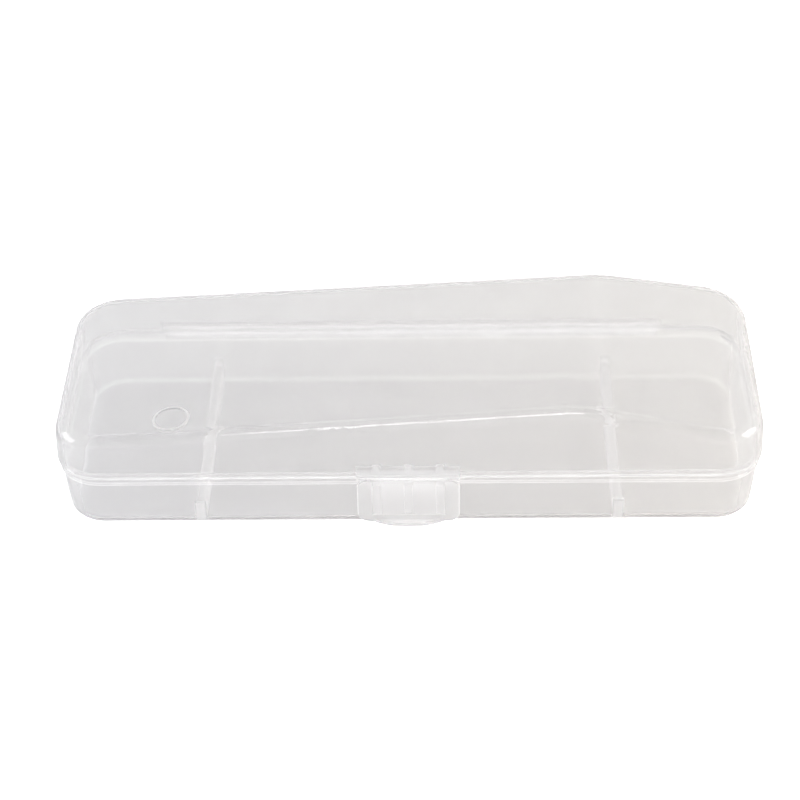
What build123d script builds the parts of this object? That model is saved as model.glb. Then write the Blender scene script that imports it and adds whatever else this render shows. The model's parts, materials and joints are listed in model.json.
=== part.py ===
"""Hinged plastic pencil case: tray, wave-topped lid, folding rear strip and front snap latch.

Frame: X along the length, +Y towards the rear hinge, +Z up. The origin is the centre of the
flat underside. All sizes are millimetres.
"""
from build123d import *
import os
from math import cos, radians, sin, tan

# --- whole case ------------------------------------------------------------------------------
case_length = 200.0
case_depth = 70.0
corner_radius = 13.2
wall = 1.2
parting_height = 18.0  # top of the tray's rim, where the lid meets it
parting_gap = 0.15

# --- tray ------------------------------------------------------------------------------------
rim_inset = 0.5  # the lid overhangs the rim by this much all round
rim_height = 2.4
rim_step = 0.5  # the rim stands proud of the tray wall
rim_edge_radius = 0.3
tray_draft = 1.2  # how far the wall leans in between the rim and the underside
tray_edge_radius = 2.2
floor_thickness = 1.2
lip_height = 1.2  # nesting lip inside the lid
lip_clearance = 0.2
cavity_edge_radius = 1.5

# --- dividing ridges on the tray floor -------------------------------------------------------
ridge_offset = 59.2
ridge_width = 2.8
ridge_height = 5.0
ridge_top_radius = 0.8

# --- lid -------------------------------------------------------------------------------------
lid_taper = 3.0  # degrees the lid's walls lean in
lid_edge_radius = 4.0
lid_inner_edge_radius = 2.8
lid_foot_radius = 0.3
lid_block_height = 32.0  # stock height, above the highest part of the wave
top_lean = 30.0  # degrees; the lid's top lies flatter than this and its walls stand steeper

# The top is ruled between a front and a rear profile: a long slope, a crest, a short slope.
front_wave = {
    "left_height": 30.4,  # carried out to the left end
    "rise": 4.0,  # degrees
    "rise_end": 41.7,  # X where the long slope turns into the crest
    "crest_radius": 45.0,
    "fall": 12.4,  # degrees
}
rear_wave = {
    "left_height": 32.0,
    "rise": 3.1,
    "rise_end": 53.0,
    "crest_radius": 43.0,
    "fall": 8.9,
}

# --- rear hinge: two thin webs with a stiff strip between them -------------------------------
hinge_length = 150.0
hinge_out = 0.65  # the hinge lines stand this far behind the lid's rear wall
hinge_drop = 0.2  # the middle of the strip is this far under the parting height
hinge_half_spacing = 0.95
hinge_bevel = 0.4  # height over which thick plastic thins down to a web
strip_thickness = 0.9
web_thickness = 0.3
web_height = 0.3
lid_land_height = 1.0
lid_land_slope = 1.1
land_root = 0.6  # how far a land reaches into the wall that carries it

# --- front latch -----------------------------------------------------------------------------
latch_width = 28.8
latch_thickness = 1.2
latch_out = 1.3  # middle of the flap's thickness, in front of the lid's foot
latch_line_height = 19.5  # thin line that the flap swings on
latch_bevel = 0.6
latch_land_height = 0.7
latch_land_slope = 1.1
latch_side_bottom = 4.4
latch_bow = 1.2  # the bottom edge bows down this far in the middle
latch_corner_radius = 3.0
latch_edge_radius = 0.25
rib_pitch = 8.9
rib_width = 2.4
rib_depth = 0.8
rib_bevel = 1.1
rib_foot = 6.4  # height of a rib's lower end
pull_chord = 19.0
pull_sagitta = 1.7
pull_height = 1.3
gusset_height = 1.8
gusset_base_width = 3.4
gusset_tip_width = 1.7
gusset_tip_depth = 0.4

# --- snap: a wedge on the tray and a bead inside the flap ------------------------------------
catch_width = 18.4
catch_ramp = 0.7
catch_bottom = 11.8
catch_undercut = 0.3
catch_clearance = 0.3  # between the wedge and the closed flap
bead_width = 16.0
bead_height = 1.3
bead_depth = 0.7
bead_gap = 0.2  # the bead sits this far under the wedge

# --- raised ring on the lid ------------------------------------------------------------------
ring_x = -66.0
ring_y = -26.0
ring_radius = 5.2
ring_width = 1.0
ring_rise = 0.35
ring_sink = 0.3  # depth that is trimmed to the lid's surface

# --- derived ---------------------------------------------------------------------------------
half_length = case_length / 2
half_depth = case_depth / 2
lid_foot = parting_height + parting_gap
lid_lean = lid_block_height * tan(radians(lid_taper))
rim_bottom = parting_height - rim_height
wall_inset = rim_inset + rim_step
cavity_inset = wall_inset + wall
lip_inset = wall + lip_clearance
draft_slope = tray_draft / rim_bottom
cavity_top = parting_height + lip_height

hinge_y = half_depth + hinge_out
lower_line = parting_height - hinge_drop - hinge_half_spacing
upper_line = parting_height - hinge_drop + hinge_half_spacing
half_web = web_height / 2

latch_y = -half_depth - latch_out
latch_inner = latch_y + latch_thickness / 2
latch_outer = latch_y - latch_thickness / 2
latch_top = latch_line_height - half_web - latch_bevel
land_bottom = latch_line_height + half_web
land_full = land_bottom + latch_bevel
land_top = land_full + latch_land_height


def rounded_block(inset_low, z_low, inset_high, z_high):
    """Solid between two rounded rectangles, each inset from the case's outline."""
    with BuildPart() as block:
        for inset, z in ((inset_low, z_low), (inset_high, z_high)):
            with BuildSketch(Plane.XY.offset(z)):
                RectangleRounded(case_length - 2 * inset, case_depth - 2 * inset, corner_radius - inset)
        loft()
    return block.part


def rounded_bottom(block, radius):
    """The block with its lowest outline edge rounded."""
    with BuildPart() as rounded:
        add(block)
        fillet(rounded.faces().sort_by(Axis.Z)[0].edges(), radius=radius)
    return rounded.part


def wave_height(wave, x):
    """Height of the long slope at x."""
    return wave["left_height"] + (x + half_length) * tan(radians(wave["rise"]))


def wave_profile(wave, y, drop):
    """Front view of the space under the lid's top at depth y, lowered by drop."""
    rise, fall = radians(wave["rise"]), radians(wave["fall"])
    start = (-half_length, wave["left_height"] - drop)
    rise_end = (wave["rise_end"], wave_height(wave, wave["rise_end"]) - drop)
    with BuildSketch(Plane.XZ.offset(-y)) as side:
        with BuildLine():
            Line(start, rise_end)
            crest = JernArc(
                rise_end, (cos(rise), sin(rise)), wave["crest_radius"], -(wave["rise"] + wave["fall"])
            )
            fall_start = crest @ 1
            fall_end = (half_length, fall_start.Y - (half_length - fall_start.X) * tan(fall))
            Line(fall_start, fall_end)
            Polyline(fall_end, (half_length, 0), (-half_length, 0), start)
        make_face()
    return side.sketch


def wave_block(inset, z_low, drop, edge_radius):
    """Tapered rounded block, cut off by the wave, with its top outline rounded."""
    stock = rounded_block(inset, z_low, inset + lid_lean, z_low + lid_block_height)
    profiles = [wave_profile(front_wave, -half_depth, drop), wave_profile(rear_wave, half_depth, drop)]
    with BuildPart() as under_wave:
        loft(profiles, ruled=True)
    with BuildPart() as block:
        add(stock)
        add(under_wave.part, mode=Mode.INTERSECT)
        top_faces = block.faces().filter_by(lambda face: face.normal_at().Z > cos(radians(top_lean)))
        # the seams between the slopes and the crest end in this outline but stay sharp themselves
        outline = top_faces.edges().filter_by(
            lambda edge: abs(edge.center().Y) > wall or abs(edge.center().X) > half_length - corner_radius
        )
        fillet(outline, radius=edge_radius)
    return block.part


# ---------------------------------------------------------------------------------------------
# Tray body
# ---------------------------------------------------------------------------------------------
tray_outside = rounded_bottom(
    rounded_block(wall_inset + tray_draft, 0, wall_inset, rim_bottom),
    tray_edge_radius,
)
rim_block = rounded_bottom(
    rounded_block(rim_inset, rim_bottom, rim_inset, parting_height),
    rim_edge_radius,
)
lip_block = rounded_block(lip_inset, parting_height, lip_inset, cavity_top)
cavity = rounded_bottom(
    rounded_block(
        cavity_inset + draft_slope * (rim_bottom - floor_thickness),
        floor_thickness,
        cavity_inset,
        rim_bottom,
    ),
    cavity_edge_radius,
)
cavity_mouth = rounded_block(cavity_inset, rim_bottom, cavity_inset, cavity_top)

with BuildPart() as base_tray:
    add(tray_outside)
    add(rim_block)
    add(lip_block)
    # land that carries the lower hinge web
    with BuildSketch(Plane.YZ):
        with BuildLine():
            Polyline(
                (half_depth - rim_inset - land_root, rim_bottom),
                (hinge_y + strip_thickness / 2, rim_bottom),
                (hinge_y + strip_thickness / 2, lower_line - half_web - hinge_bevel),
                (hinge_y + web_thickness / 2, lower_line - half_web),
                (hinge_y - web_thickness / 2, lower_line - half_web),
                (hinge_y - strip_thickness / 2, lower_line - half_web - hinge_bevel),
                (half_depth - rim_inset - land_root, lower_line - half_web - hinge_bevel),
                close=True,
            )
        make_face()
    extrude(amount=hinge_length / 2, both=True)
    add(cavity, mode=Mode.SUBTRACT)
    add(cavity_mouth, mode=Mode.SUBTRACT)


def dividing_ridge(x):
    """Low ridge across the tray floor, from the front wall to the rear wall."""
    with BuildPart() as ridge:
        with BuildSketch(Plane.XY.offset(floor_thickness)):
            with Locations((x, 0)):
                Rectangle(ridge_width, case_depth)
        extrude(amount=ridge_height)
        fillet(ridge.faces().sort_by(Axis.Z)[-1].edges().filter_by(Axis.Y), radius=ridge_top_radius)
        add(cavity, mode=Mode.INTERSECT)
    return ridge.part


with BuildPart() as divider_left:
    add(dividing_ridge(-ridge_offset))

with BuildPart() as divider_right:
    add(dividing_ridge(ridge_offset))

with BuildPart() as latch_catch:
    with BuildSketch(Plane.YZ):
        with BuildLine():
            Polyline(
                (-half_depth + wall_inset + wall / 2, rim_bottom),
                (-half_depth + rim_inset, rim_bottom),
                (latch_inner + catch_clearance, rim_bottom - catch_ramp),
                (latch_inner + catch_clearance, catch_bottom),
                (-half_depth + wall_inset + wall / 2, catch_bottom - catch_undercut),
                close=True,
            )
        make_face()
    extrude(amount=catch_width / 2, both=True)
    chamfer(latch_catch.edges().filter_by(Axis.Z), length=catch_clearance)
    add(tray_outside, mode=Mode.SUBTRACT)

# ---------------------------------------------------------------------------------------------
# Rear strip and its two thin webs
# ---------------------------------------------------------------------------------------------
with BuildPart() as rear_hinge_strip:
    with BuildSketch(Plane.YZ):
        with BuildLine():
            Polyline(
                (hinge_y - web_thickness / 2, lower_line + half_web),
                (hinge_y + web_thickness / 2, lower_line + half_web),
                (hinge_y + strip_thickness / 2, lower_line + half_web + hinge_bevel),
                (hinge_y + strip_thickness / 2, upper_line - half_web - hinge_bevel),
                (hinge_y + web_thickness / 2, upper_line - half_web),
                (hinge_y - web_thickness / 2, upper_line - half_web),
                (hinge_y - strip_thickness / 2, upper_line - half_web - hinge_bevel),
                (hinge_y - strip_thickness / 2, lower_line + half_web + hinge_bevel),
                close=True,
            )
        make_face()
    extrude(amount=hinge_length / 2, both=True)


def thin_web(length, y, z):
    """Straight thin strip along X that a hinge bends at."""
    with BuildPart() as web:
        with BuildSketch(Plane.YZ):
            with Locations((y, z)):
                Rectangle(web_thickness, web_height)
        extrude(amount=length / 2, both=True)
    return web.part


with BuildPart() as lower_hinge_web:
    add(thin_web(hinge_length, hinge_y, lower_line))

with BuildPart() as upper_hinge_web:
    add(thin_web(hinge_length, hinge_y, upper_line))

with BuildPart() as latch_hinge_web:
    add(thin_web(latch_width, latch_y, latch_line_height))

# ---------------------------------------------------------------------------------------------
# Lid
# ---------------------------------------------------------------------------------------------
lid_outside = wave_block(0, lid_foot, 0, lid_edge_radius)
lid_hollow = wave_block(wall, lid_foot, wall, lid_inner_edge_radius)

with BuildPart() as lid:
    add(lid_outside)
    fillet(lid.faces().sort_by(Axis.Z)[0].edges(), radius=lid_foot_radius)
    # land that carries the upper hinge web
    with BuildSketch(Plane.YZ):
        with BuildLine():
            Polyline(
                (half_depth - land_root, upper_line + half_web + hinge_bevel),
                (hinge_y - strip_thickness / 2, upper_line + half_web + hinge_bevel),
                (hinge_y - web_thickness / 2, upper_line + half_web),
                (hinge_y + web_thickness / 2, upper_line + half_web),
                (hinge_y + strip_thickness / 2, upper_line + half_web + hinge_bevel),
                (hinge_y + strip_thickness / 2, upper_line + half_web + lid_land_height),
                (half_depth - land_root, upper_line + half_web + lid_land_height + lid_land_slope),
                close=True,
            )
        make_face()
    extrude(amount=hinge_length / 2, both=True)
    # land that carries the flap's web, over a notch in the lid's foot
    with BuildSketch(Plane.YZ):
        with BuildLine():
            Polyline(
                (-half_depth + land_root, land_bottom),
                (latch_y + web_thickness / 2, land_bottom),
                (latch_y - web_thickness / 2, land_bottom),
                (latch_outer, land_full),
                (latch_outer, land_top),
                (-half_depth + land_root, land_top + latch_land_slope),
                close=True,
            )
        make_face()
    extrude(amount=latch_width / 2, both=True)
    add(lid_hollow, mode=Mode.SUBTRACT)
    with BuildSketch(Plane.XZ.offset(half_depth - 2 * wall)):
        with Locations((0, lid_foot)):
            Rectangle(latch_width, 2 * (land_bottom - lid_foot))
    extrude(amount=2 * wall + latch_out, mode=Mode.SUBTRACT)

with BuildPart() as latch_gussets:
    with BuildSketch(Plane.XZ.offset(half_depth - wall / 2)):
        for x in (-rib_pitch, rib_pitch):
            with BuildLine():
                Polyline(
                    (x - gusset_base_width / 2, land_top - latch_bevel),
                    (x + gusset_base_width / 2, land_top - latch_bevel),
                    (x + gusset_tip_width / 2, land_top + gusset_height),
                    (x - gusset_tip_width / 2, land_top + gusset_height),
                    close=True,
                )
            make_face()
        with Locations((0, land_top + (gusset_height - latch_bevel) / 2)):
            Rectangle(rib_width, gusset_height + latch_bevel)
    extrude(amount=latch_out + latch_thickness)
    with BuildSketch(Plane.YZ):
        with BuildLine():
            Polyline(
                (-half_depth + wall, land_full),
                (latch_outer, land_full),
                (latch_outer, land_top),
                (-half_depth - gusset_tip_depth, land_top + gusset_height),
                (-half_depth + wall, land_top + gusset_height),
                close=True,
            )
        make_face()
    extrude(amount=latch_width / 2, both=True, mode=Mode.INTERSECT)
    add(lid_outside, mode=Mode.SUBTRACT)
    add(lid.part, mode=Mode.SUBTRACT)

# the lid's surface at the ring's centre lies on the straight line between the two profiles
front_height = wave_height(front_wave, ring_x)
rear_height = wave_height(rear_wave, ring_x)
surface_height = front_height + (ring_y + half_depth) / case_depth * (rear_height - front_height)
along = Vector(1, 0, tan(radians(front_wave["rise"])))
across = Vector(0, case_depth, rear_height - front_height)
ring_plane = Plane(
    origin=(ring_x, ring_y, surface_height - ring_sink),
    x_dir=along,
    z_dir=along.cross(across),
)
with BuildPart() as lid_ring:
    with BuildSketch(ring_plane):
        Circle(ring_radius)
        Circle(ring_radius - ring_width, mode=Mode.SUBTRACT)
    extrude(amount=ring_sink + ring_rise)
    fillet(lid_ring.faces().sort_by(Axis.Z)[-1].edges(), radius=ring_rise / 2)
    add(lid_outside, mode=Mode.SUBTRACT)

# ---------------------------------------------------------------------------------------------
# Latch
# ---------------------------------------------------------------------------------------------
with BuildSketch(Plane.XZ.offset(-latch_inner)) as flap_outline:
    with BuildLine():
        Polyline(
            (-latch_width / 2, latch_side_bottom),
            (-latch_width / 2, latch_top),
            (latch_width / 2, latch_top),
            (latch_width / 2, latch_side_bottom),
        )
        ThreePointArc(
            (latch_width / 2, latch_side_bottom),
            (0, latch_side_bottom - latch_bow),
            (-latch_width / 2, latch_side_bottom),
        )
    make_face()
    fillet(flap_outline.vertices().group_by(Axis.Z)[0], radius=latch_corner_radius)

with BuildPart() as finger_pull:
    # crescent that stands out from the flap's lower edge and follows its bow
    with BuildSketch(Plane.XY.offset(latch_side_bottom - latch_bow)):
        with BuildLine():
            ThreePointArc(
                (-pull_chord / 2, latch_outer),
                (0, latch_outer - pull_sagitta),
                (pull_chord / 2, latch_outer),
            )
            Line((pull_chord / 2, latch_outer), (-pull_chord / 2, latch_outer))
        make_face()
    extrude(amount=pull_height)
    fillet(finger_pull.edges().filter_by(GeomType.CIRCLE), radius=latch_edge_radius)
    extrude(flap_outline.sketch, amount=latch_thickness + pull_sagitta, mode=Mode.INTERSECT)

with BuildPart() as latch_flap:
    extrude(flap_outline.sketch, amount=latch_thickness)
    rim_edges = latch_flap.faces().sort_by(Axis.Y)[0].edges().filter_by(
        lambda edge: edge.center().Z < latch_top - latch_edge_radius
    )
    fillet(rim_edges, radius=latch_edge_radius)
    # the plate thins down to the web
    with BuildSketch(Plane.YZ):
        with BuildLine():
            Polyline(
                (latch_inner, latch_top),
                (latch_y + web_thickness / 2, latch_line_height - half_web),
                (latch_y - web_thickness / 2, latch_line_height - half_web),
                (latch_outer, latch_top),
                close=True,
            )
        make_face()
    extrude(amount=latch_width / 2, both=True)
    add(finger_pull.part)


def latch_rib(x):
    """Upright stiffening rib on the outside of the flap, bevelled at both ends."""
    with BuildPart() as rib:
        with BuildSketch(Plane.YZ.offset(x - rib_width / 2)):
            with BuildLine():
                Polyline(
                    (latch_outer, rib_foot),
                    (latch_outer, latch_top),
                    (latch_outer - rib_depth, latch_top - rib_bevel),
                    (latch_outer - rib_depth, rib_foot + rib_bevel),
                    close=True,
                )
            make_face()
        extrude(amount=rib_width)
        fillet(rib.faces().sort_by(Axis.Y)[0].edges().filter_by(Axis.Z), radius=latch_edge_radius)
    return rib.part


ribs = [latch_rib(x) for x in (-rib_pitch, 0, rib_pitch)]
with BuildPart() as latch_ribs:
    add(ribs)

bead_top = catch_bottom - bead_gap
with BuildPart() as latch_snap_bead:
    with BuildSketch(Plane.YZ):
        with BuildLine():
            Polyline(
                (latch_inner, bead_top),
                (latch_inner + bead_depth, bead_top),
                (latch_inner + bead_depth, bead_top - bead_height / 3),
                (latch_inner, bead_top - bead_height),
                close=True,
            )
        make_face()
    extrude(amount=bead_width / 2, both=True)

pieces = {
    "base_tray": base_tray,
    "divider_left": divider_left,
    "divider_right": divider_right,
    "latch_catch": latch_catch,
    "lower_hinge_web": lower_hinge_web,
    "rear_hinge_strip": rear_hinge_strip,
    "upper_hinge_web": upper_hinge_web,
    "lid": lid,
    "lid_ring": lid_ring,
    "latch_gussets": latch_gussets,
    "latch_hinge_web": latch_hinge_web,
    "latch_flap": latch_flap,
    "latch_ribs": latch_ribs,
    "latch_snap_bead": latch_snap_bead,
}
os.makedirs("parts", exist_ok=True)
for label, piece in pieces.items():
    piece.part.label = label
    export_step(piece.part, f"parts/{label}.step")
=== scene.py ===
"""Looks of the frosted plastic pencil case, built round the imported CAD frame. Metres, +Z up."""

import json
import math

import bmesh
import bpy
from mathutils import Matrix, Vector


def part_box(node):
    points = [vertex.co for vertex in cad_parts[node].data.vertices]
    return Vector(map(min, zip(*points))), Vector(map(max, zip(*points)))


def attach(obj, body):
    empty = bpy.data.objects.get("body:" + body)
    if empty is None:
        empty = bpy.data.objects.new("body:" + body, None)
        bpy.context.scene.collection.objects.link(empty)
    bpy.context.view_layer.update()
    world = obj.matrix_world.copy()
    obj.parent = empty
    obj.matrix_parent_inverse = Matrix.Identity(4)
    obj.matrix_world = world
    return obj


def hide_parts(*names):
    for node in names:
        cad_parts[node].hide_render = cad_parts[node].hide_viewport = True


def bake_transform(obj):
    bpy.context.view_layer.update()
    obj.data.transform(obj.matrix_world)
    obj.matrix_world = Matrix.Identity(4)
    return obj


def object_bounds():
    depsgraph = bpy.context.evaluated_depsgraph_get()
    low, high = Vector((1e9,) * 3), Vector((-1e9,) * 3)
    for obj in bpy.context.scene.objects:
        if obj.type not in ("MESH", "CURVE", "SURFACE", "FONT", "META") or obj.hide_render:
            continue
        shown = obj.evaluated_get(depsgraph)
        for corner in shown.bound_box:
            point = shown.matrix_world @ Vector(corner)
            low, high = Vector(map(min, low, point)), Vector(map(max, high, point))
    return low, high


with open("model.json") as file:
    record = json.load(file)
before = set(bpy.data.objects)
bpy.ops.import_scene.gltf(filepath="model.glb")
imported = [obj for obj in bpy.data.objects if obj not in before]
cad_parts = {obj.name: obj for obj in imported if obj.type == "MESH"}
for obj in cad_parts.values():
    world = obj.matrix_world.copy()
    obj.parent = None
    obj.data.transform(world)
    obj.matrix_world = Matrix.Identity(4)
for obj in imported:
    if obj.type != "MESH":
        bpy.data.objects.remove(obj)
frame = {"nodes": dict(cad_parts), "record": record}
nodes = frame["nodes"]
cad_low, cad_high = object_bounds()
centre = (cad_low + cad_high) / 2
size = cad_high - cad_low

MM = 0.001
WHITE = (1.0, 1.0, 1.0, 1.0)

# --- plastic ---------------------------------------------------------------------------------
CLEAR_TINT = (1.0, 0.999, 0.999, 1.0)
MILK_TINT = (0.987, 0.985, 0.987, 1.0)
REFRACTION = 1.49
COAT_WEIGHT = 0.6
COAT_ROUGHNESS = 0.12
GRAIN_SCALE = 2600.0  # texture cells to a metre
GRAIN_DEPTH = 0.05 * MM
WAVE_SCALE = 42.0
WAVE_DEPTH = 0.6 * MM
CLOUD_SCALE = 26.0
CLOUD_RANGE = (0.3, 0.7)  # the cloud texture stays between about these values
LEAST_COSINE = 0.1  # a path more slanting than this counts as no longer
MILK_EDGE = 0.25 * MM  # softness of the edge of a milky place
# softness of the edges of the glow painted along lines and round a core
GLOW_EDGE = 0.1 * MM
CORE_EDGE = 0.15 * MM
LYING_TILT = (0.85, 0.95)  # a face lies flat where its normal's upright share passes these
MARGIN = 1 * MM  # how far a milky or bright box reaches past the CAD node it is taken from

# --- shapes ----------------------------------------------------------------------------------
ROOT = 0.2 * MM  # how far a feature's foot is pushed into the plastic it stands on
WELD = 0.0005 * MM
FLAT_ANGLE = math.radians(0.03)
SHARP_ANGLE = math.radians(28)
WEB_SHARP_ANGLE = math.radians(40)
WEB_STEPS_UP = 8
WEB_STEPS_ALONG = 60
WEB_WAIST = 0.3  # share of its thickness that a web loses in the middle

# --- ground, sky and lights ------------------------------------------------------------------
FLOOR_HALF_WIDTH = 6.0
FLOOR_DROP = 0.2 * MM
# Painted shade on the floor: its paper is a little darker under and near the case than far from it
FLOOR_NEAR = 0.885
FLOOR_FAR = 0.91
FLOOR_NEAR_END = 1.0  # both in half sizes of the case, from its middle
FLOOR_FAR_START = 2.2
FLOOR_LIFT = 0.6
# Painted light on the floor: cool and a little darker on the left, warm and brighter on the right,
# as the lamps light it
FLOOR_PAINTED_COOL_LEFT = (0.945, 0.950, 0.972, 1.0)
FLOOR_PAINTED_WARM_RIGHT = (1.042, 1.018, 0.986, 1.0)
SKY_HORIZON = 1.08
SKY_ZENITH = 0.64
SKY_ZENITH_START = 0.8
SKY_SEEN = 1.1
COOL = (0.973, 0.978, 1.0, 1.0)
WARM = (0.995, 0.972, 0.945, 1.0)

# --- camera: from in front, a little from the right, 38 degrees up ----------------------------
CAMERA_ELEVATION = math.radians(38.38)
CAMERA_TURN = math.radians(-1.67)
CAMERA_ROLL = math.radians(-1.47)
CAMERA_DISTANCE = 629.9 * MM
CAMERA_LEFT = 3.12 * MM
CAMERA_UP = 14.36 * MM
CAMERA_LENS = 95.3
CAMERA_SENSOR = 36.0
CAMERA_CLIP_START = 0.01


# ---------------------------------------------------------------------------------------------
# Node helpers
# ---------------------------------------------------------------------------------------------
class Graph:
    """Short way to add and link the nodes of one material or world."""

    def __init__(self, tree):
        self.tree = tree
        self.tree.nodes.clear()

    def add(self, kind, values=None, **settings):
        node = self.tree.nodes.new(kind)
        for name, value in settings.items():
            setattr(node, name, value)
        for name, value in (values or {}).items():
            if isinstance(value, bpy.types.NodeSocket):
                self.tree.links.new(value, node.inputs[name])
            else:
                node.inputs[name].default_value = value
        return node

    def math(self, operation, a, b=0.0, clamp=False):
        node = self.add("ShaderNodeMath", {0: a, 1: b}, operation=operation)
        node.use_clamp = clamp
        return node.outputs[0]

    def vector(self, operation, a, b=(0.0, 0.0, 0.0)):
        return self.add("ShaderNodeVectorMath", {0: a, 1: b}, operation=operation).outputs

    def split(self, vector):
        return self.add("ShaderNodeSeparateXYZ", {0: vector}).outputs

    def remap(self, value, low, high, to_low, to_high):
        node = self.add(
            "ShaderNodeMapRange",
            {"Value": value, "From Min": low, "From Max": high, "To Min": to_low, "To Max": to_high},
        )
        return node.outputs["Result"]

    def mix(self, share, a, b):
        return self.add("ShaderNodeMix", {0: share, 2: a, 3: b}).outputs[0]

    def mix_colour(self, share, a, b):
        return self.add("ShaderNodeMix", {0: share, 6: a, 7: b}, data_type="RGBA").outputs[2]


# ---------------------------------------------------------------------------------------------
# Frosted plastic
# ---------------------------------------------------------------------------------------------
def inside_box(g, place, box, soft):
    """1 inside a box (lowest corner, highest corner), 0 outside, over a soft edge."""
    low, high = box
    away = g.vector("SUBTRACT", place, (low + high) / 2)[0]
    away = g.vector("ABSOLUTE", away)[0]
    away = g.split(g.vector("SUBTRACT", away, (high - low) / 2)[0])
    furthest = g.math("MAXIMUM", g.math("MAXIMUM", away[0], away[1]), away[2])
    return g.remap(furthest, -soft, soft, 1.0, 0.0)


def relief(g, place, grain, waviness):
    """Normal of the moulded surface: a fine grain over broad, shallow waves."""
    fine = g.add(
        "ShaderNodeTexNoise",
        {"Vector": place, "Scale": GRAIN_SCALE, "Detail": 3.0, "Roughness": 0.6},
    )
    broad = g.add(
        "ShaderNodeTexNoise",
        {"Vector": place, "Scale": WAVE_SCALE, "Detail": 2.0, "Roughness": 0.5},
    )
    grain_bump = g.add(
        "ShaderNodeBump",
        {"Height": fine.outputs["Fac"], "Strength": grain, "Distance": GRAIN_DEPTH},
    )
    bump = g.add(
        "ShaderNodeBump",
        {
            "Height": broad.outputs["Fac"],
            "Strength": waviness,
            "Distance": WAVE_DEPTH,
            "Normal": grain_bump.outputs["Normal"],
        },
    )
    return bump.outputs["Normal"]


def milk_share(g, place, cloud, milk, thick, ring):
    """Share of the light that scatters at this place and slant.

    A slanting path is longer, so it is milkier: what stays clear is (1 - milk) ** (1 / cosine).
    """
    facing = g.add("ShaderNodeLayerWeight", {"Blend": 0.5}).outputs["Facing"]
    cosine = g.math("MAXIMUM", g.math("SUBTRACT", 1.0, facing), LEAST_COSINE)
    scatter = g.remap(cloud, *CLOUD_RANGE, milk * 0.9, milk * 1.1)
    for box, thick_milk in thick:
        here = inside_box(g, place, box, MILK_EDGE)
        scatter = g.mix(here, scatter, thick_milk)
    if ring:
        middle, radius, half_width, ring_milk = ring
        flat = g.vector("MULTIPLY", place, (1, 1, 0))[0]
        reach = g.vector("DISTANCE", flat, (middle.x, middle.y, 0))["Value"]
        off = g.math("ABSOLUTE", g.math("SUBTRACT", reach, radius))
        here = g.remap(off, half_width * 0.8, half_width * 1.2, 1.0, 0.0)
        scatter = g.mix(here, scatter, ring_milk)
    stays = g.math("POWER", g.math("SUBTRACT", 1.0, scatter), g.math("DIVIDE", 1.0, cosine))
    return g.math("SUBTRACT", 1.0, stays, clamp=True)


def painted_rim_glow(g, place, edges, core):
    """Strength of the glow painted at this place as emission: the bright lines painted along rims
    and edges.
    """
    glow = 0.0
    normal = g.add("ShaderNodeNewGeometry").outputs["True Normal"]
    upright = g.remap(g.math("ABSOLUTE", g.split(normal)[2]), *LYING_TILT, 1.0, 0.0)
    for box, strength, lying in edges:
        here = inside_box(g, place, box, GLOW_EDGE)
        if not lying:
            here = g.math("MULTIPLY", here, upright)
        glow = g.math("MAXIMUM", glow, g.math("MULTIPLY", here, strength))
    if core:
        box, strength = core
        outside = g.math("SUBTRACT", 1.0, inside_box(g, place, box, CORE_EDGE))
        glow = g.math("MAXIMUM", glow, g.math("MULTIPLY", outside, strength))
    return glow


def frosted_plastic(
    name, milk, roughness, grain, waviness, thick=(), edges=(), core=None, ring=None
):
    """Natural polypropylene: clear enough to see into, milky, with a fine moulded texture.

    milk is the share of light that scatters in one wall seen square on, roughness the blur of
    what passes, grain and waviness the strengths of the fine and the broad surface relief. thick
    holds pairs of a box where the plastic is thick and the share it scatters there. Bright lines
    are painted on as glow, emission that stands in for light along rims and edges: edges holds,
    for each such painted line, its box, the strength of its glow, and whether faces that lie flat
    are painted as well as upright ones. core is a box and the strength of the glow painted round
    it. ring is a raised ring's centre, radius, half width and milk.
    """
    material = bpy.data.materials.new(name)
    material.use_nodes = True
    g = Graph(material.node_tree)
    place = g.add("ShaderNodeTexCoord").outputs["Object"]
    normal = relief(g, place, grain, waviness)
    cloud = g.add(
        "ShaderNodeTexNoise",
        {"Vector": place, "Scale": CLOUD_SCALE, "Detail": 4.0, "Roughness": 0.55, "Distortion": 0.6},
    ).outputs["Fac"]
    clear = g.add(
        "ShaderNodeBsdfPrincipled",
        {
            "Base Color": CLEAR_TINT,
            "Roughness": g.remap(cloud, *CLOUD_RANGE, roughness * 0.85, roughness * 1.2),
            "IOR": REFRACTION,
            "Transmission Weight": 1.0,
            "Coat Weight": COAT_WEIGHT,
            "Coat Roughness": COAT_ROUGHNESS,
            "Normal": normal,
        },
    )
    through = g.add("ShaderNodeBsdfTranslucent", {"Color": MILK_TINT, "Normal": normal})
    back = g.add("ShaderNodeBsdfDiffuse", {"Color": MILK_TINT, "Normal": normal})
    haze = g.add("ShaderNodeMixShader", {0: 0.5, 1: through.outputs[0], 2: back.outputs[0]})
    share = milk_share(g, place, cloud, milk, thick, ring)
    surface = g.add("ShaderNodeMixShader", {0: share, 1: clear.outputs[0], 2: haze.outputs[0]})
    # Painted glow: emission paints bright lines in the given boxes, standing in for light along rims
    # and edges
    if edges or core:
        glow = painted_rim_glow(g, place, edges, core)
        painted_glow = g.add("ShaderNodeEmission", {"Color": MILK_TINT, "Strength": glow})
        surface = g.add("ShaderNodeAddShader", {0: surface.outputs[0], 1: painted_glow.outputs[0]})
        material.cycles.emission_sampling = "NONE"
    g.add("ShaderNodeOutputMaterial", {"Surface": surface.outputs[0]})
    return material


def paint(obj, material):
    obj.data.materials.clear()
    obj.data.materials.append(material)


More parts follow.
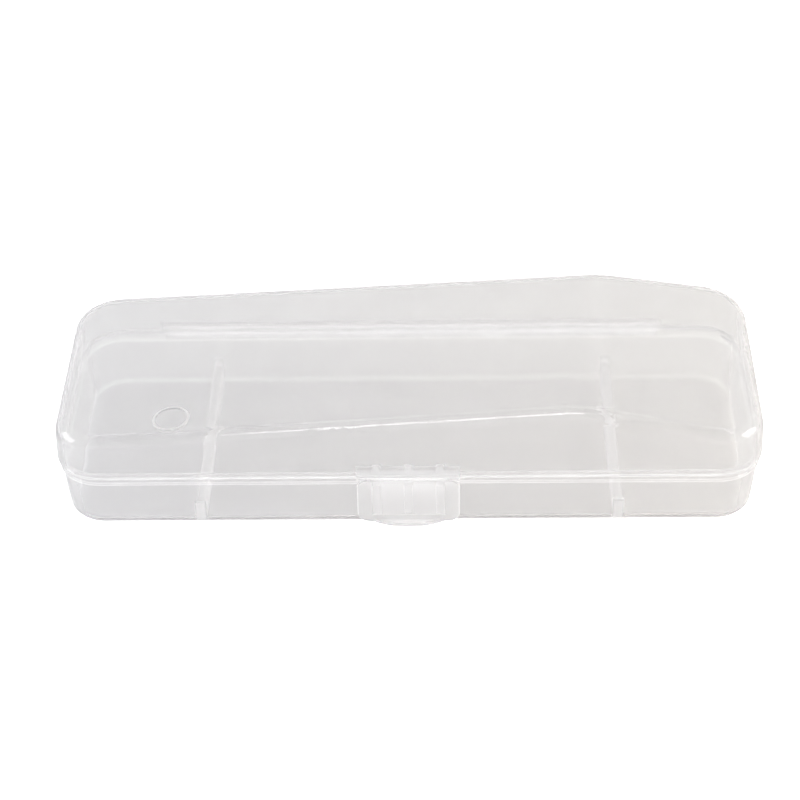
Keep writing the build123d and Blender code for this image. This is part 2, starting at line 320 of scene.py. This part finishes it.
# ---------------------------------------------------------------------------------------------
# Thick places, and places where bright lines are painted as glow, worked out from the CAD nodes'
# boxes
# ---------------------------------------------------------------------------------------------
def box_between(low, high):
    return Vector(low), Vector(high)


def grown(node, x=0.0, y=0.0, z=0.0):
    """Box of a CAD node, larger by these amounts on both sides."""
    low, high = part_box(node)
    margin = Vector((x, y, z))
    return low - margin, high + margin


def slab(node, height, line):
    """Box round a CAD node from line[0] to line[1] above a height."""
    low, high = grown(node, x=MARGIN, y=MARGIN)
    return box_between((low.x, low.y, height + line[0]), (high.x, high.y, height + line[1]))


lid_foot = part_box("lid")[0].z
rim_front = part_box("base_tray")[0].y
hinge_low, hinge_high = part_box("rear_hinge_strip")
catch_low, catch_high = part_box("latch_catch")
rim_bottom = catch_high.z
gusset_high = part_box("latch_gussets")[1]
flap_low, flap_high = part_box("latch_flap")
rib_low, rib_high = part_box("latch_ribs")
ring_low, ring_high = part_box("lid_ring")

RIDGE_MILK = 0.75
RIDGE_Y_MARGIN = 3 * MM
RIDGE_Z_MARGIN = 2 * MM
CATCH_MILK = 0.6
HINGE_LAND_MILK = 0.35
HINGE_LAND_ROOT = 0.35 * MM
HINGE_LAND_DROP = 0.2 * MM
HINGE_LAND_RISE = 3 * MM
LATCH_LAND_MILK = 0.75
LATCH_LAND_GAP = 0.2 * MM
LATCH_LAND_SLOPE = 0.4 * MM
RIB_MILK = 0.6
RIB_WIDTH = 2.4 * MM
RIB_ROOT = 0.2 * MM
GUSSET_Y_MARGIN = 0.5 * MM
GUSSET_Z_MARGIN = 0.2 * MM
RING_MILK = 0.6
RING_HALF_WIDTH = 0.35 * MM
# Glow painted as emission: strengths and extents of the bright lines painted along rims and edges
RIM_GLOW = 0.2
RIM_LINE = (-0.1 * MM, 0.5 * MM)  # a line's lower and upper edge, from the edge it runs along
BOTTOM_GLOW = 0.1
BOTTOM_LINE = (-0.1 * MM, 0.75 * MM)
LID_FOOT_GLOW = 0.22
LID_FOOT_LINE = (-0.1 * MM, 0.3 * MM)
LINE_HALF_WIDTH = 0.12 * MM
RIM_BEHIND_FLAP_GLOW = 0.6
CATCH_RAMP = 0.7 * MM
CATCH_EDGE_GLOW = 0.5
STRIP_GLOW = 0.05
FLAP_RIM_GLOW = 0.1
FLAP_SIDE_RIM = 0.35 * MM
FLAP_LOWER_RIM = 0.4 * MM
FLAP_UPPER_RIM = 0.2 * MM
FLAP_DEPTH_MARGIN = 5 * MM

ridges = [
    (grown(node, y=RIDGE_Y_MARGIN, z=RIDGE_Z_MARGIN), RIDGE_MILK)
    for node in ("divider_left", "divider_right")
]
catch = (grown("latch_catch", y=MARGIN), CATCH_MILK)
hinge_land = (
    box_between(
        (hinge_low.x - MARGIN, hinge_low.y - HINGE_LAND_ROOT, rim_bottom - HINGE_LAND_DROP),
        (hinge_high.x + MARGIN, hinge_high.y + MARGIN, hinge_high.z + HINGE_LAND_RISE),
    ),
    HINGE_LAND_MILK,
)
latch_land = (
    box_between(
        (flap_low.x, flap_low.y - MARGIN, flap_high.z),
        (flap_high.x, rim_front - LATCH_LAND_GAP, gusset_high.z - LATCH_LAND_SLOPE),
    ),
    LATCH_LAND_MILK,
)
rib_pitch = (rib_high.x - rib_low.x - RIB_WIDTH) / 2
gussets = [
    (
        box_between(
            (x - RIB_WIDTH / 2, flap_low.y - MARGIN, flap_high.z),
            (x + RIB_WIDTH / 2, gusset_high.y + GUSSET_Y_MARGIN, gusset_high.z + GUSSET_Z_MARGIN),
        ),
        LATCH_LAND_MILK,
    )
    for x in (-rib_pitch, 0, rib_pitch)
]
ring = (
    (ring_low + ring_high) / 2,
    (ring_high.x - ring_low.x) / 2 - RING_HALF_WIDTH,
    RING_HALF_WIDTH,
    RING_MILK,
)

# Boxes where bright lines of glow are painted as emission, each with its strength
rim_line = (slab("base_tray", rim_bottom, RIM_LINE), RIM_GLOW, False)
bottom_line = (slab("base_tray", 0.0, BOTTOM_LINE), BOTTOM_GLOW, False)
lid_foot_line = (slab("lid", lid_foot, LID_FOOT_LINE), LID_FOOT_GLOW, False)
rim_behind_flap = (
    box_between(
        (flap_low.x, cad_low.y, rim_bottom - LINE_HALF_WIDTH),
        (flap_high.x, 0, rim_bottom + LINE_HALF_WIDTH),
    ),
    RIM_BEHIND_FLAP_GLOW,
    True,
)
ramp_foot = catch_high.z - CATCH_RAMP
catch_edge = (
    box_between(
        (catch_low.x, catch_low.y - MARGIN, ramp_foot - LINE_HALF_WIDTH),
        (catch_high.x, catch_low.y + LINE_HALF_WIDTH, ramp_foot + LINE_HALF_WIDTH),
    ),
    CATCH_EDGE_GLOW,
    True,
)
flap_core = box_between(
    (flap_low.x + FLAP_SIDE_RIM, flap_low.y - FLAP_DEPTH_MARGIN, flap_low.z + FLAP_LOWER_RIM),
    (flap_high.x - FLAP_SIDE_RIM, flap_high.y + FLAP_DEPTH_MARGIN, flap_high.z - FLAP_UPPER_RIM),
)

# ---------------------------------------------------------------------------------------------
# One material for each slot of the record, and two for the webs
# ---------------------------------------------------------------------------------------------
tray = frosted_plastic(
    "frosted_tray",
    milk=0.13,
    roughness=0.12,
    grain=0.15,
    waviness=0.12,
    thick=ridges + [catch, hinge_land],
    # painted glow lines along the rim, the bottom edge, the rim behind the flap and the catch's edge
    edges=[rim_line, bottom_line, rim_behind_flap, catch_edge],
)
lid = frosted_plastic(
    "frosted_lid",
    milk=0.11,
    roughness=0.06,
    grain=0.08,
    waviness=0.10,
    thick=[latch_land, hinge_land] + gussets,
    # painted glow line along the lid's foot
    edges=[lid_foot_line],
    ring=ring,
)
hinge = frosted_plastic(
    "thin_hinge",
    milk=0.6,
    roughness=0.12,
    grain=0.10,
    waviness=0.05,
    # painted glow over the whole hinge strip
    edges=[(grown("rear_hinge_strip", x=MARGIN), STRIP_GLOW, True)],
)
latch = frosted_plastic(
    "frosted_latch",
    milk=0.24,
    roughness=0.20,
    grain=0.20,
    waviness=0.06,
    thick=[(grown("latch_ribs", y=RIB_ROOT), RIB_MILK)],
    # painted glow round the flap's rim
    core=(flap_core, FLAP_RIM_GLOW),
)


def web_plastic(name, glows):
    """Thin stretched plastic of the webs: glows pairs each web's node with the strength of the glow
    painted on it as emission.
    """
    return frosted_plastic(
        name,
        milk=0.4,
        roughness=0.12,
        grain=0.10,
        waviness=0.05,
        edges=[
            (grown(node, MARGIN, MARGIN, MARGIN), strength, True)
            for node, strength in glows.items()
        ],
    )


# painted glow on the hinge webs: brighter on the lower web, fainter on the upper and the latch web
painted_glow_web = web_plastic("painted_glow_web", {"lower_hinge_web": 0.3, "upper_hinge_web": 0.15})
latch_web = web_plastic("latch_web", {"latch_hinge_web": 0.02})

by_slot = {"tray_plastic": tray, "lid_plastic": lid, "hinge_plastic": hinge, "latch_plastic": latch}
for part in frame["record"]["subparts"]:
    paint(nodes[part["node"]], by_slot[part["material_slot"]])


# ---------------------------------------------------------------------------------------------
# Mouldings: one closed skin for each body
# ---------------------------------------------------------------------------------------------
def weld(mesh):
    """Joins the vertices that the frame file splits along creases, so that the skin is closed."""
    b = bmesh.new()
    b.from_mesh(mesh)
    bmesh.ops.remove_doubles(b, verts=b.verts, dist=WELD)
    b.to_mesh(mesh)
    b.free()


def flatten(mesh):
    """Joins the triangles of each flat face, so that shading follows the face."""
    b = bmesh.new()
    b.from_mesh(mesh)
    bmesh.ops.dissolve_limit(b, angle_limit=FLAT_ANGLE, verts=b.verts, edges=b.edges)
    b.to_mesh(mesh)
    b.free()


def rooted(node, roots):
    """Copy of a CAD node with its foot pushed into the plastic it stands on.

    roots holds pairs of an axis and a side: the face on that side of the box moves out by ROOT,
    the opposite face stays, and what lies between is stretched.
    """
    mesh = nodes[node].data.copy()
    weld(mesh)
    low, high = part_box(node)
    for axis, side in roots:
        span = high[axis] - low[axis]
        for vertex in mesh.vertices:
            share = (vertex.co[axis] - low[axis]) / span
            vertex.co[axis] += side * ROOT * (share if side > 0 else 1 - share)
    return mesh


def moulding(name, body, base, additions, material):
    """One closed skin round the plastic that several CAD nodes of a body share.

    Clear plastic would show the faces where the nodes touch; a real moulding has none.
    """
    mesh = nodes[base].data.copy()
    weld(mesh)
    piece = bpy.data.objects.new(name, mesh)
    bpy.context.scene.collection.objects.link(piece)
    helpers = []
    for node, roots in additions.items():
        helper = bpy.data.objects.new(name + "_" + node, rooted(node, roots))
        bpy.context.scene.collection.objects.link(helper)
        helpers.append(helper)
        union = piece.modifiers.new(node, "BOOLEAN")
        union.operation = "UNION"
        union.solver = "EXACT"
        union.object = helper
    graph = bpy.context.evaluated_depsgraph_get()
    joined = bpy.data.meshes.new_from_object(piece.evaluated_get(graph))
    piece.modifiers.clear()
    piece.data = joined
    for helper in helpers:
        bpy.data.objects.remove(helper)
    flatten(joined)
    joined.shade_smooth()
    joined.set_sharp_from_angle(angle=SHARP_ANGLE)
    weighted = piece.modifiers.new("smooth_faces", "WEIGHTED_NORMAL")
    weighted.keep_sharp = True
    weighted.weight = 100
    paint(piece, material)
    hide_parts(base, *additions)
    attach(piece, body)


Y, Z = 1, 2
ridge_roots = [(Z, -1), (Y, -1), (Y, 1)]
moulding(
    "tray_moulding",
    "base",
    "base_tray",
    {"divider_left": ridge_roots, "divider_right": ridge_roots, "latch_catch": [(Y, 1), (Z, 1)]},
    tray,
)
moulding(
    "lid_moulding",
    "lid",
    "lid",
    {"latch_gussets": [(Y, 1), (Z, -1)], "lid_ring": [(Z, -1)]},
    lid,
)
moulding(
    "latch_moulding",
    "latch",
    "latch_flap",
    {"latch_ribs": [(Y, 1)], "latch_snap_bead": [(Y, -1)]},
    latch,
)


# ---------------------------------------------------------------------------------------------
# Living hinges
# ---------------------------------------------------------------------------------------------
def web_section(low, high):
    """Outline of a web's section, round from the front foot: points of depth and height."""
    middle = (low.y + high.y) / 2
    section = []
    for side in (-1, 1):
        for j in range(WEB_STEPS_UP + 1):
            k = j if side < 0 else WEB_STEPS_UP - j
            waist = 1 - WEB_WAIST * math.sin(math.pi * k / WEB_STEPS_UP)
            y = middle + side * waist * (high.y - low.y) / 2
            section.append((y, low.z + (high.z - low.z) * k / WEB_STEPS_UP))
    return section


def living_hinge(name, node, material):
    """Thin web between the two bodies it joins: a waisted, smooth-shaded strip.

    Its upper and lower edges keep the CAD web's thickness; its waist is a little thinner.
    """
    low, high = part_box(node)
    section = web_section(low, high)
    b = bmesh.new()
    rings = []
    for i in range(WEB_STEPS_ALONG + 1):
        x = low.x + (high.x - low.x) * i / WEB_STEPS_ALONG
        rings.append([b.verts.new((x, y, z)) for y, z in section])
    for one, two in zip(rings, rings[1:]):
        for j in range(len(section)):
            k = (j + 1) % len(section)
            b.faces.new((one[j], two[j], two[k], one[k]))
    b.faces.new(rings[0])
    b.faces.new(list(reversed(rings[-1])))
    bmesh.ops.recalc_face_normals(b, faces=b.faces)
    mesh = bpy.data.meshes.new(name)
    b.to_mesh(mesh)
    b.free()
    mesh.shade_smooth()
    mesh.set_sharp_from_angle(angle=WEB_SHARP_ANGLE)
    piece = bpy.data.objects.new(name, mesh)
    bpy.context.scene.collection.objects.link(piece)
    paint(piece, material)
    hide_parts(node)
    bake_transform(piece)


living_hinge("lower_web", "lower_hinge_web", painted_glow_web)
living_hinge("upper_web", "upper_hinge_web", painted_glow_web)
living_hinge("latch_web", "latch_hinge_web", latch_web)


# ---------------------------------------------------------------------------------------------
# Ground and sky
# ---------------------------------------------------------------------------------------------
def ground_paint():
    """A cut-out white: seen directly it is pure white, what it gives the case is paler."""
    material = bpy.data.materials.new("floor")
    material.use_nodes = True
    g = Graph(material.node_tree)
    ground = g.add("ShaderNodeTexCoord").outputs["Object"]
    footprint = g.vector("MULTIPLY", ground, (2 / size.x, 2 / size.y, 1.0))[0]
    away = g.vector("LENGTH", footprint)["Value"]
    # painted shade: the paper is a little darker under and near the case
    painted_shade_paleness = g.remap(away, FLOOR_NEAR_END, FLOOR_FAR_START, FLOOR_NEAR, FLOOR_FAR)
    # painted light: cool on the left, warm and brighter on the right
    side = g.remap(g.split(ground)[0], -size.x / 2, size.x / 2, 0.0, 1.0)
    hue = g.mix_colour(side, FLOOR_PAINTED_COOL_LEFT, FLOOR_PAINTED_WARM_RIGHT)
    colour = g.add("ShaderNodeVectorMath", {0: hue, "Scale": painted_shade_paleness}, operation="SCALE").outputs[0]
    paper = g.add("ShaderNodeBsdfDiffuse", {"Color": colour})
    direct = g.add("ShaderNodeLightPath").outputs["Is Camera Ray"]
    lift = g.add("ShaderNodeEmission", {"Strength": g.math("MULTIPLY", direct, FLOOR_LIFT)})
    white = g.add("ShaderNodeAddShader", {0: paper.outputs[0], 1: lift.outputs[0]})
    g.add("ShaderNodeOutputMaterial", {"Surface": white.outputs[0]})
    material.cycles.emission_sampling = "NONE"
    return material


def studio_sky():
    """Pale all round, brightest at the horizon, cool on the left and warm on the right."""
    world = bpy.data.worlds.new("studio")
    world.use_nodes = True
    g = Graph(world.node_tree)
    direction = g.split(g.add("ShaderNodeTexCoord").outputs["Generated"])
    height = g.math("ABSOLUTE", direction[2])
    brightness = g.remap(height, 0.0, SKY_ZENITH_START, SKY_HORIZON, SKY_ZENITH)
    hue = g.mix_colour(g.remap(direction[0], -1.0, 1.0, 0.0, 1.0), COOL, WARM)
    direct = g.add("ShaderNodeLightPath").outputs["Is Camera Ray"]
    strength = g.mix(direct, brightness, SKY_SEEN)
    shown = g.mix_colour(direct, hue, WHITE)
    sky = g.add("ShaderNodeBackground", {"Color": shown, "Strength": strength})
    g.add("ShaderNodeOutputWorld", {"Surface": sky.outputs[0]})
    return world


floor_height = cad_low.z - FLOOR_DROP
floor_mesh = bpy.data.meshes.new("floor")
floor_mesh.from_pydata(
    [
        (x * FLOOR_HALF_WIDTH, y * FLOOR_HALF_WIDTH, floor_height)
        for x, y in ((-1, -1), (1, -1), (1, 1), (-1, 1))
    ],
    [],
    [(0, 1, 2, 3)],
)
floor = bpy.data.objects.new("floor", floor_mesh)
bpy.context.scene.collection.objects.link(floor)
floor.data.materials.append(ground_paint())
bpy.context.scene.world = studio_sky()


# ---------------------------------------------------------------------------------------------
# Lights
# ---------------------------------------------------------------------------------------------
def softbox(name, place, width, height, radiance, colour):
    """Rectangular soft light that faces the case, with a given surface brightness."""
    data = bpy.data.lights.new(name, "AREA")
    data.shape = "RECTANGLE"
    data.size = width
    data.size_y = height
    data.color = colour[:3]
    data.energy = radiance * math.pi * width * height
    light = bpy.data.objects.new(name, data)
    bpy.context.scene.collection.objects.link(light)
    light.location = place
    light.rotation_euler = (centre - Vector(place)).to_track_quat("-Z", "Y").to_euler()


softbox("strip_light", (-0.03, -0.75, 1.0), width=0.52, height=0.22, radiance=4.5, colour=WHITE)
softbox("left_light", (-1.3, 0.0, 0.5), width=0.8, height=0.6, radiance=2.2, colour=COOL)
softbox("right_light", (1.3, 0.0, 0.5), width=0.8, height=0.6, radiance=3.3, colour=WARM)


# ---------------------------------------------------------------------------------------------
# Camera and render looks
# ---------------------------------------------------------------------------------------------
def studio_camera():
    """Camera that looks down at the case, turned and rolled a little."""
    forward = Vector(
        (
            math.sin(CAMERA_TURN) * math.cos(CAMERA_ELEVATION),
            math.cos(CAMERA_TURN) * math.cos(CAMERA_ELEVATION),
            -math.sin(CAMERA_ELEVATION),
        )
    )
    level_right = Vector((math.cos(CAMERA_TURN), -math.sin(CAMERA_TURN), 0.0))
    level_up = level_right.cross(forward)
    right = level_right * math.cos(CAMERA_ROLL) + level_up * math.sin(CAMERA_ROLL)
    up = level_up * math.cos(CAMERA_ROLL) - level_right * math.sin(CAMERA_ROLL)
    data = bpy.data.cameras.new("camera")
    data.lens = CAMERA_LENS
    data.sensor_width = CAMERA_SENSOR
    data.clip_start = CAMERA_CLIP_START
    camera = bpy.data.objects.new("camera", data)
    bpy.context.scene.collection.objects.link(camera)
    stand = -forward * CAMERA_DISTANCE - right * CAMERA_LEFT + up * CAMERA_UP
    turned = Matrix((right, up, -forward)).transposed().to_4x4()
    camera.matrix_world = Matrix.Translation(stand) @ turned
    return camera


bpy.context.scene.camera = studio_camera()

scene = bpy.context.scene
scene.view_settings.view_transform = "Standard"
scene.cycles.max_bounces = 24
scene.cycles.transmission_bounces = 24
scene.cycles.transparent_max_bounces = 24
scene.cycles.diffuse_bounces = 14
scene.cycles.glossy_bounces = 12
scene.cycles.blur_glossy = 0.0
